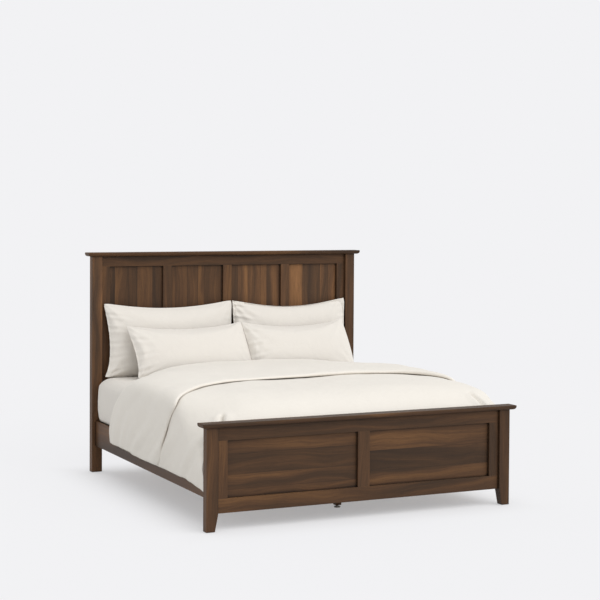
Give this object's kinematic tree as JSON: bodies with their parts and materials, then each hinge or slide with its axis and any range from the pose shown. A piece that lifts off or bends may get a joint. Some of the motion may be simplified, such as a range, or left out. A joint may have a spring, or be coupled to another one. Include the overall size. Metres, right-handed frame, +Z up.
{
  "type": "panel bed",
  "caption": "King-size panel bed: frame-and-panel head and foot, hooked side rails, slats on a centre beam, mattress, duvet and pillows.",
  "frame": {"origin": "on the floor, in the middle of the bed's outline seen from above", "axes": "+Z up, +Y towards the headboard, +X to the right for someone standing at the foot"},
  "size_m": [2.116, 2.219, 1.535],
  "materials": {
    "walnut": "dark walnut stain, satin lacquer, fine grain",
    "walnut_panels": "dark walnut stain, satin lacquer, boards of varied tone",
    "slat_wood": "planed softwood, unfinished",
    "webbing": "woven polyester tape",
    "zinc_steel": "zinc plated",
    "nylon": "moulded nylon",
    "mattress_cover": "knitted cover",
    "duvet_linen": "washed linen, matte",
    "pillow_linen": "washed linen, matte"
  },
  "bodies": {
    "frame": {"centre_beam": "slat_wood", "centre_leg_1": "slat_wood", "centre_leg_2": "slat_wood", "centre_leg_3": "slat_wood", "duvet": "duvet_linen", "footboard_cap": "walnut", "footboard_lower_rail": "walnut", "footboard_mullion": "walnut", "footboard_panel_left": "walnut_panels", "footboard_panel_right": "walnut_panels", "footboard_post_left": "walnut", "footboard_post_right": "walnut", "footboard_stile_left": "walnut", "footboard_stile_right": "walnut", "footboard_upper_rail": "walnut", "headboard_cap": "walnut", "headboard_lower_rail": "walnut", "headboard_mullion_left": "walnut", "headboard_mullion_middle": "walnut", "headboard_mullion_right": "walnut", "headboard_panel_1": "walnut_panels", "headboard_panel_2": "walnut_panels", "headboard_panel_3": "walnut_panels", "headboard_panel_4": "walnut_panels", "headboard_post_left": "walnut", "headboard_post_right": "walnut", "headboard_stile_left": "walnut", "headboard_stile_right": "walnut", "headboard_upper_rail": "walnut", "leg_hanger_bolts": "zinc_steel", "leg_inserts": "zinc_steel", "mattress": "mattress_cover", "pillow_back_left": "pillow_linen", "pillow_back_right": "pillow_linen", "pillow_front_left": "pillow_linen", "pillow_front_right": "pillow_linen", "post_glides": "nylon", "post_slot_plates": "zinc_steel", "rail_hook_plates": "zinc_steel", "side_rail_left": "walnut", "side_rail_right": "walnut", "slat_01": "slat_wood", "slat_02": "slat_wood", "slat_03": "slat_wood", "slat_04": "slat_wood", "slat_05": "slat_wood", "slat_06": "slat_wood", "slat_07": "slat_wood", "slat_08": "slat_wood", "slat_09": "slat_wood", "slat_10": "slat_wood", "slat_11": "slat_wood", "slat_cleat_left": "slat_wood", "slat_cleat_right": "slat_wood", "slat_tape_left": "webbing", "slat_tape_right": "webbing"},
    "leveller_1": {"leg_leveller_1": "nylon"},
    "leveller_2": {"leg_leveller_2": "nylon"},
    "leveller_3": {"leg_leveller_3": "nylon"}
  },
  "joints": [
    {"name": "leveller_1_screw", "type": "slide", "parent": "frame", "child": "leveller_1", "axis": [0, 0, -1], "range_m": [0, 0.012]},
    {"name": "leveller_2_screw", "type": "slide", "parent": "frame", "child": "leveller_2", "axis": [0, 0, -1], "range_m": [0, 0.012]},
    {"name": "leveller_3_screw", "type": "slide", "parent": "frame", "child": "leveller_3", "axis": [0, 0, -1], "range_m": [0, 0.012]}
  ]
}
